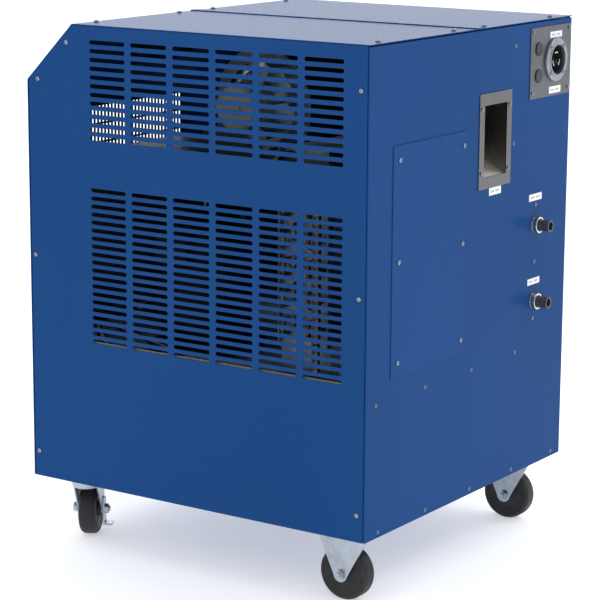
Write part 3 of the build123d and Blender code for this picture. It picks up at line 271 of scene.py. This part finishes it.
# Finishes by material slot, then those of single nodes that differ from the rest of their slot
PAINT_GLOSS = 0.026
BLUE = (0.0125, 0.064, 0.215)
FINISHES = {
    "cabinet_paint": powder_coat("cabinet_paint", BLUE),
    "stainless": brushed_metal("stainless", (0.125, 0.130, 0.146), (60.0, 60.0, 900.0)),
    "zinc": zinc_plate("zinc", (0.43, 0.47, 0.525)),
    "fastener_zinc": zinc_plate("fastener_zinc", (0.30, 0.33, 0.37), (0.2, 0.35)),
    "inlet_casting": zinc_plate("inlet_casting", (0.33, 0.35, 0.38), (0.35, 0.55)),
    "black_plastic": plastic("black_plastic", (0.018, 0.018, 0.020), 0.5),
    "red_plastic": plastic("red_plastic", (0.42, 0.02, 0.015), 0.3),
    "nickel": brushed_metal("nickel", (0.62, 0.60, 0.57), (900.0, 40.0, 900.0), (0.16, 0.3)),
    "bronze": brushed_metal("bronze", (0.155, 0.15, 0.148), (400.0, 60.0, 400.0), (0.42, 0.6), 0.2),
    "label_white": printed_card("label_white", (0.86, 0.87, 0.88)),
    # Its blue tint is a painted reflection of the cabinet's blue-painted inner faces
    "galvanised": spangled_zinc("galvanised", (0.175, 0.195, 0.225)),
    "shell_beige": powder_coat("shell_beige", (0.30, 0.275, 0.24)),
    "fin_aluminium": brushed_metal("fin_aluminium", (0.5, 0.52, 0.54), (20.0, 20.0, 700.0)),
    "copper": copper_tube("copper", (0.165, 0.125, 0.11)),
    "compressor_black": powder_coat("compressor_black", (0.012, 0.012, 0.013)),
    "filter_mat": filter_mat("filter_mat", (0.05, 0.05, 0.055)),
    "wheel_rubber": wheel_rubber("wheel_rubber", (0.014, 0.014, 0.015)),
    "print_grey": plastic("print_grey", (0.30, 0.31, 0.33), 0.6),
}
NODE_FINISHES = {
    "drain_pan": powder_coat("pan_grey", (0.34, 0.345, 0.35)),
    # The box's inside takes the first, lighter colour as painted light; the flange keeps the second
    "recess_box": recess_steel_painted_lit(
        "recess_steel_painted_lit", (0.29, 0.27, 0.25), (0.13, 0.130, 0.135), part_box("rear_panel")[1].y
    ),
    "access_cover": powder_coat("cover_paint", shade(BLUE, 1.07)),
    "rear_rivets": zinc_plate("rivet_zinc", (0.15, 0.175, 0.215), (0.25, 0.4)),
    # The blower housing is darkened to near black: painted shade for the dark inside of the cabinet
    "blower_housing": spangled_zinc("housing_zinc_painted_shade", (0.11, 0.11, 0.108)),
}


def dress_nodes():
    """Give every CAD node its own finish where it has one, and otherwise that of its material slot."""
    for part in frame["record"]["subparts"]:
        node = frame["nodes"][part["node"]]
        finish = NODE_FINISHES.get(part["node"], FINISHES[part["material_slot"]])
        node.data.materials.clear()
        node.data.materials.append(finish)
        for face in node.data.polygons:
            face.material_index = 0


# Shapes

def add_mesh(name, bm, finish, body, smooth_angle=30.0):
    """Turn a bmesh into a piece that rides on a body and has a finish."""
    bmesh.ops.recalc_face_normals(bm, faces=bm.faces)
    mesh = bpy.data.meshes.new(name)
    bm.to_mesh(mesh)
    bm.free()
    mesh.materials.append(finish)
    mesh.shade_smooth()
    mesh.set_sharp_from_angle(angle=math.radians(smooth_angle))
    piece = bpy.data.objects.new(name, mesh)
    bpy.context.scene.collection.objects.link(piece)
    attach(piece, body)
    return piece


def frame_of(origin, normal, along):
    """A matrix whose X runs along one direction and whose Z is the normal, placed at the origin."""
    z = Vector(normal).normalized()
    x = (Vector(along) - Vector(along).dot(z) * z).normalized()
    return Matrix.Translation(origin) @ Matrix((x, z.cross(x), z)).transposed().to_4x4()


def lathe(bm, outline, place, steps=96):
    """Revolve a closed (height, radius) outline about the Z axis of a placing matrix."""
    rings = []
    for k in range(steps):
        turn = 2 * math.pi * k / steps
        ring = [
            bm.verts.new(place @ Vector((r * math.cos(turn), r * math.sin(turn), h)))
            for h, r in outline
        ]
        rings.append(ring)
    count = len(outline)
    for k in range(steps):
        here, after = rings[k], rings[(k + 1) % steps]
        for i in range(count):
            j = (i + 1) % count
            bm.faces.new((here[i], here[j], after[j], after[i]))


def slab(bm, low, high, place, chamfer=0.0):
    """A box between two corners in a placing matrix's coordinates, its upright edges chamfered."""
    (x0, y0, z0), (x1, y1, z1) = low, high
    c = chamfer
    if c:
        outline = [
            (x0 + c, y0), (x1 - c, y0), (x1, y0 + c), (x1, y1 - c),
            (x1 - c, y1), (x0 + c, y1), (x0, y1 - c), (x0, y0 + c),
        ]
    else:
        outline = [(x0, y0), (x1, y0), (x1, y1), (x0, y1)]
    under = [bm.verts.new(place @ Vector((x, y, z0))) for x, y in outline]
    over = [bm.verts.new(place @ Vector((x, y, z1))) for x, y in outline]
    bm.faces.new(under)
    bm.faces.new(over)
    for i in range(len(outline)):
        j = (i + 1) % len(outline)
        bm.faces.new((under[i], under[j], over[j], over[i]))


def loose_boxes(node):
    """The lowest and highest corner of each separate solid of a CAD node."""
    bm = bmesh.new()
    bm.from_mesh(frame["nodes"][node].data)
    bmesh.ops.remove_doubles(bm, verts=bm.verts, dist=1e-6)
    seen, boxes = set(), []
    for start in bm.verts:
        if start in seen:
            continue
        stack, low, high = [start], start.co.copy(), start.co.copy()
        seen.add(start)
        while stack:
            vert = stack.pop()
            low = Vector(map(min, low, vert.co))
            high = Vector(map(max, high, vert.co))
            for edge in vert.link_edges:
                other = edge.other_vert(vert)
                if other not in seen:
                    seen.add(other)
                    stack.append(other)
        boxes.append((low, high))
    bm.free()
    return boxes


def joint_frame(name):
    """The point and the axis of a joint of the record."""
    joint = next(j for j in frame["joints"] if j["name"] == name)
    return Vector(joint["pos_m"]), Vector(joint["axis"])


# Pieces

# Half of a wheel's section in mm, as (distance from its middle, radius), sleeve to shoulder
WHEEL_OUTLINE = [
    (19.3, 5.4), (19.5, 5.8), (19.5, 12.2), (18.9, 12.9), (15.4, 14.2), (14.9, 15.4), (14.7, 17.0),
    (14.8, 27.0), (15.0, 29.2), (15.4, 31.0), (15.6, 32.2), (15.7, 33.4), (15.7, 37.4),
    (15.2, 38.0), (15.2, 38.8), (15.7, 39.4),
]
SHOULDER = 8.0
SHOULDER_STEPS = 8
SHOULDER_FOOT = (15.8, 39.5)
SHOULDER_SQUASH = 0.985
TREAD_CROWN = [(4.0, 47.45), (0.0, 47.5)]
SLEEVE_OUTLINE = [(18.6, 5.35), (20.1, 5.35), (20.2, 5.6), (20.2, 8.2), (19.9, 8.6), (18.6, 8.6)]


def caster_wheel(name, joint, body):
    """A moulded caster wheel: crowned tread, ringed side walls, dished web, hub and steel sleeve."""
    centre, axis = joint_frame(joint)
    place = frame_of(centre, axis, (0, 0, 1)) @ Matrix.Scale(MM, 4)
    half = list(WHEEL_OUTLINE)
    foot_half_width, foot_r = SHOULDER_FOOT
    for k in range(SHOULDER_STEPS):
        turn = math.radians(90.0 * k / (SHOULDER_STEPS - 1))
        inward = SHOULDER * (1 - math.cos(turn))
        half.append((foot_half_width - inward, foot_r + SHOULDER * math.sin(turn) * SHOULDER_SQUASH))
    half += TREAD_CROWN
    outline = half + [(-h, r) for h, r in reversed(half[:-1])]
    bm = bmesh.new()
    lathe(bm, outline, place)
    tyre = add_mesh(name + "_moulded", bm, FINISHES["wheel_rubber"], body, 38.0)
    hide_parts(name)
    bm = bmesh.new()
    for side in (1, -1):
        lathe(bm, [(side * h, r) for h, r in SLEEVE_OUTLINE], place, 48)
    add_mesh(name + "_sleeve", bm, FINISHES["zinc"], body)


FIN_PITCH = 3.1
FIN_THICKNESS = 0.3
FIN_RIPPLE = 0.55
FIN_FOLDS = 6
FIN_MARGIN = 1.2


def thin_fins(node):
    """Thin rippled fins in place of a coil's stand-in block."""
    low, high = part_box(node)
    low, high = low / MM, high / MM
    bm = bmesh.new()
    count = int((high.x - low.x - 2.0) / FIN_PITCH)
    for k in range(count):
        x = low.x + FIN_MARGIN + FIN_PITCH * k
        sides = []
        for skin in (0.0, FIN_THICKNESS):
            rows = []
            for i in range(FIN_FOLDS + 1):
                y = low.y + (high.y - low.y) * i / FIN_FOLDS
                shift = FIN_RIPPLE if i % 2 else 0.0
                ends = ((x + skin + shift, y, low.z), (x + skin + shift, y, high.z))
                rows.append([bm.verts.new(Vector(end) * MM) for end in ends])
            sides.append(rows)
        first, second = sides
        for i in range(FIN_FOLDS):
            for rows in sides:
                bm.faces.new((rows[i][0], rows[i + 1][0], rows[i + 1][1], rows[i][1]))
            for end in (0, 1):
                bm.faces.new((first[i][end], first[i + 1][end], second[i + 1][end], second[i][end]))
        for i in (0, FIN_FOLDS):
            bm.faces.new((first[i][0], first[i][1], second[i][1], second[i][0]))
    fins = add_mesh(node + "_stack", bm, FINISHES["fin_aluminium"], "cabinet", 20.0)
    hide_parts(node)


PRINT_PROUD = 0.06
PRINT_BARS = 7
PRINT_GAP_AT = 3                       # the bar left out, as between two words
PRINT_BAR_FILL = 0.62
TALL_LABEL = 12.4
TALL_PRINT = (0.14, 0.86, 0.36, 0.64)  # left, right, bottom, top, as shares of the plate
LOW_PRINT = (0.12, 0.88, 0.34, 0.66)


def label_print():
    """Plain grey bars on the name plates, in place of any lettering."""
    bm = bmesh.new()
    for low, high in loose_boxes("label_plates"):
        width, height = (high.x - low.x) / MM, (high.z - low.z) / MM
        place = frame_of(Vector((high.x, high.y, low.z)), (0, 1, 0), (-1, 0, 0)) @ Matrix.Scale(MM, 4)
        x0, x1, y0, y1 = TALL_PRINT if height > TALL_LABEL else LOW_PRINT
        step = width * (x1 - x0) / PRINT_BARS
        for k in range(PRINT_BARS):
            if k == PRINT_GAP_AT:
                continue
            left = width * x0 + step * k
            right = left + step * PRINT_BAR_FILL
            slab(bm, (left, height * y0, 0.0), (right, height * y1, PRINT_PROUD), place)
    add_mesh("label_bars", bm, FINISHES["print_grey"], "cabinet")


# Controls on the slope, in mm on its outer face: printed scale, numerals, marks and a collar

INK_PROUD = 0.05
SEGMENTS = {"0": "abcdef", "1": "bc", "2": "abged", "4": "fgbc", "6": "afgedc", "8": "abcdefg"}


def numeral(bm, digit, place, width, height, stroke):
    """A digit of straight printed strokes, centred on a placing matrix."""
    w, h, t = width / 2, height / 2, stroke / 2
    strokes = {
        "a": ((-w, h - t), (w, h + t)), "g": ((-w, -t), (w, t)), "d": ((-w, -h - t), (w, -h + t)),
        "f": ((-w - t, 0), (-w + t, h)), "b": ((w - t, 0), (w + t, h)),
        "e": ((-w - t, -h), (-w + t, 0)), "c": ((w - t, -h), (w + t, 0)),
    }
    for segment in SEGMENTS[digit]:
        (x0, y0), (x1, y1) = strokes[segment]
        slab(bm, (x0, y0, 0.0), (x1, y1, INK_PROUD), place)


def slope_place(x):
    """The slope's outer face at a distance along the cabinet: X along it, Y up it, Z out of it."""
    point, out = joint_frame("humidity_knob_turn")
    skin = max(vert.co.dot(out) for vert in frame["nodes"]["control_panel"].data.vertices)
    on_skin = point + (skin - point.dot(out)) * out
    on_skin.x = x
    return frame_of(on_skin, out, (1, 0, 0)) @ Matrix.Scale(MM, 4)


def middle_x(node):
    low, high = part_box(node)
    return (low.x + high.x) / 2


DIAL_TICKS = 27
DIAL_TURN = 270.0
TICKS_PER_NUMERAL = 9
NUMERAL_STEP = 20
TICK_HALF_WIDTH = 0.45
TICK_INNER_R = 20.6
TICK_OUTER_R = 23.2
MAJOR_TICK_OUTER_R = 25.0
NUMERAL_R = 30.0
NUMERAL_SIZE = (2.2, 4.4, 0.6)         # width, height, stroke
NUMERAL_PITCH = 4.0
POINTER_LOW = (-0.6, 3.0, 18.42)
POINTER_HIGH = (0.6, 13.2, 18.5)


def dial_scale():
    """Ticks and numerals round the humidistat knob, and the pointer's stripe on it."""
    centre = slope_place(middle_x("humidistat_knob"))
    bm = bmesh.new()
    for k in range(DIAL_TICKS + 1):
        turn = -DIAL_TURN * k / DIAL_TICKS
        spoke = centre @ Matrix.Rotation(math.radians(turn), 4, "Z")
        major = k % TICKS_PER_NUMERAL == 0
        outer = MAJOR_TICK_OUTER_R if major else TICK_OUTER_R
        slab(bm, (-TICK_HALF_WIDTH, TICK_INNER_R, 0.0), (TICK_HALF_WIDTH, outer, INK_PROUD), spoke)
        if not major:
            continue
        upright = Matrix.Translation((0, NUMERAL_R, 0)) @ Matrix.Rotation(math.radians(-turn), 4, "Z")
        reading = str(NUMERAL_STEP * (1 + k // TICKS_PER_NUMERAL))
        for i, digit in enumerate(reading):
            shift = Matrix.Translation((NUMERAL_PITCH * (i - 0.5), 0, 0))
            numeral(bm, digit, spoke @ upright @ shift, *NUMERAL_SIZE)
    add_mesh("dial_print", bm, FINISHES["label_white"], "cabinet")
    bm = bmesh.new()
    slab(bm, POINTER_LOW, POINTER_HIGH, centre, 0.2)
    add_mesh("knob_pointer", bm, FINISHES["label_white"], "knob")


METER_READING = "00412"
FIRST_DRUM_X = -11.6
DRUM_PITCH = 5.8
DRUM_TOP = 2.4
METER_NUMERAL_SIZE = (2.2, 4.8, 0.6)


def meter_digits():
    """The hour meter's figures on its drums."""
    centre = slope_place(middle_x("hour_meter"))
    bm = bmesh.new()
    for k, digit in enumerate(METER_READING):
        drum = centre @ Matrix.Translation((FIRST_DRUM_X + DRUM_PITCH * k, 0, DRUM_TOP))
        numeral(bm, digit, drum, *METER_NUMERAL_SIZE)
    add_mesh("meter_figures", bm, FINISHES["label_white"], "cabinet")


# The rocker's two faces in mm, as (distance up the slope, height) at its middle and its ends
ROCKER_MIDDLE = (0.0, 2.0)
ROCKER_OFF_END = (-10.2, 1.2)
ROCKER_ON_END = (10.2, 4.2)
OFF_RING_R = (1.7, 2.4)
ON_BAR_HALF = (0.4, 2.2)


def rocker_face(centre, lower, upper):
    """A placing matrix on the middle of a rocker face, between its lower and its upper end."""
    tilt = math.atan2(upper[1] - lower[1], upper[0] - lower[0])
    middle = (0, (lower[0] + upper[0]) / 2, (lower[1] + upper[1]) / 2)
    return centre @ Matrix.Translation(middle) @ Matrix.Rotation(tilt, 4, "X")


def rocker_marks():
    """A bar and a ring, the generic on and off marks, on the two faces of the rocker."""
    centre = slope_place(middle_x("switch_rocker"))
    bm = bmesh.new()
    inner_r, outer_r = OFF_RING_R
    ring = [(0.0, inner_r), (INK_PROUD, inner_r), (INK_PROUD, outer_r), (0.0, outer_r)]
    lathe(bm, ring, rocker_face(centre, ROCKER_OFF_END, ROCKER_MIDDLE), 40)
    half_w, half_h = ON_BAR_HALF
    on_face = rocker_face(centre, ROCKER_MIDDLE, ROCKER_ON_END)
    slab(bm, (-half_w, -half_h, 0.0), (half_w, half_h, INK_PROUD), on_face)
    add_mesh("rocker_marks", bm, FINISHES["label_white"], "rocker")


COLLAR_OUTLINE = [(0.0, 7.6), (0.0, 11.6), (0.9, 11.6), (1.7, 10.9), (2.0, 10.2), (2.0, 8.4), (1.5, 7.6)]


def button_collar():
    """The turned collar round the purge button."""
    bm = bmesh.new()
    lathe(bm, COLLAR_OUTLINE, slope_place(middle_x("purge_button")))
    add_mesh("button_collar", bm, FINISHES["nickel"], "cabinet")


# Stage

def white_world():
    """A white surround: plain white where it is seen, brighter beyond the object where it lights it."""
    world = bpy.data.worlds.new("studio")
    bpy.context.scene.world = world
    world.use_nodes = True
    nodes, links = world.node_tree.nodes, world.node_tree.links
    nodes.clear()
    direction = nodes.new("ShaderNodeTexCoord").outputs["Generated"]
    away = nodes.new("ShaderNodeVectorMath")
    away.operation = "DOT_PRODUCT"
    away.inputs[1].default_value = WORLD_TOWARD
    links.new(direction, away.inputs[0])
    ramp = nodes.new("ShaderNodeMapRange")
    ramp.inputs["From Min"].default_value = WORLD_DIM_UP_TO
    ramp.inputs["From Max"].default_value = WORLD_BRIGHT_FROM
    ramp.inputs["To Min"].default_value = WORLD_DIM
    ramp.inputs["To Max"].default_value = WORLD_BRIGHT
    links.new(away.outputs["Value"], ramp.inputs["Value"])
    lit = nodes.new("ShaderNodeBackground")
    lit.inputs["Color"].default_value = WORLD_TINT
    links.new(ramp.outputs["Result"], lit.inputs["Strength"])
    plain = nodes.new("ShaderNodeBackground")
    plain.inputs["Color"].default_value = WHITE
    seen = nodes.new("ShaderNodeLightPath")
    mix = nodes.new("ShaderNodeMixShader")
    links.new(seen.outputs["Is Camera Ray"], mix.inputs["Fac"])
    links.new(lit.outputs["Background"], mix.inputs[1])
    links.new(plain.outputs["Background"], mix.inputs[2])
    output = nodes.new("ShaderNodeOutputWorld")
    links.new(mix.outputs["Shader"], output.inputs["Surface"])


def soft_light(name, place, target, size, power):
    light = bpy.data.lights.new(name, "AREA")
    light.shape = "SQUARE"
    light.size = size
    light.energy = power
    lamp = bpy.data.objects.new(name, light)
    lamp.location = place
    lamp.rotation_euler = (Vector(target) - Vector(place)).to_track_quat("-Z", "Y").to_euler()
    bpy.context.scene.collection.objects.link(lamp)


def pale_floor():
    floor = bpy.data.objects.new("floor", bpy.data.meshes.new("floor"))
    corners = [
        (-FLOOR_REACH, -FLOOR_REACH, 0), (FLOOR_REACH, -FLOOR_REACH, 0),
        (FLOOR_REACH, FLOOR_REACH, 0), (-FLOOR_REACH, FLOOR_REACH, 0),
    ]
    floor.data.from_pydata(corners, [], [(0, 1, 2, 3)])
    low, high = FLOOR_TONE
    p = Paint("floor_white", (high, high, high), 0.9, specular=0.0)
    p.color(p.noise(3.0, 2.0), (low, low, low), (high, high, high))
    p.set("Emission Color", WHITE)
    p.set("Emission Strength", FLOOR_GLOW)
    floor.data.materials.append(p.material)
    bpy.context.scene.collection.objects.link(floor)


def photo_camera():
    """The camera at the viewing angle of the reference, looking down a little at a rear corner."""
    az, el, roll = CAMERA_AZIMUTH, CAMERA_ELEVATION, CAMERA_ROLL
    ahead = Vector((-math.sin(az) * math.cos(el), math.cos(az) * math.cos(el), -math.sin(el)))
    level = ahead.cross(Vector((0, 0, 1))).normalized()
    above = level.cross(ahead)
    right = math.cos(roll) * level + math.sin(roll) * above
    up = -math.sin(roll) * level + math.cos(roll) * above
    data = bpy.data.cameras.new("camera")
    data.lens = CAMERA_LENS
    data.sensor_width = CAMERA_SENSOR
    data.clip_end = CAMERA_REACH
    camera = bpy.data.objects.new("camera", data)
    basis = Matrix((right, up, -ahead)).transposed().to_4x4()
    camera.matrix_world = Matrix.Translation(CAMERA_AT) @ basis
    bpy.context.scene.collection.objects.link(camera)
    bpy.context.scene.camera = camera


bpy.context.scene.view_settings.view_transform = "Standard"
photo_camera()
white_world()
pale_floor()
for light_name, setting in LIGHTS.items():
    soft_light(light_name, *setting)

dress_nodes()
for wheel_side in ("right", "left"):
    for end in ("rear", "front"):
        wheel_name = f"{end}_wheel_{wheel_side}"
        caster_wheel(wheel_name, wheel_name + "_spin", wheel_name)
thin_fins("evaporator_fins")
thin_fins("condenser_fins")
label_print()
dial_scale()
meter_digits()
rocker_marks()
button_collar()
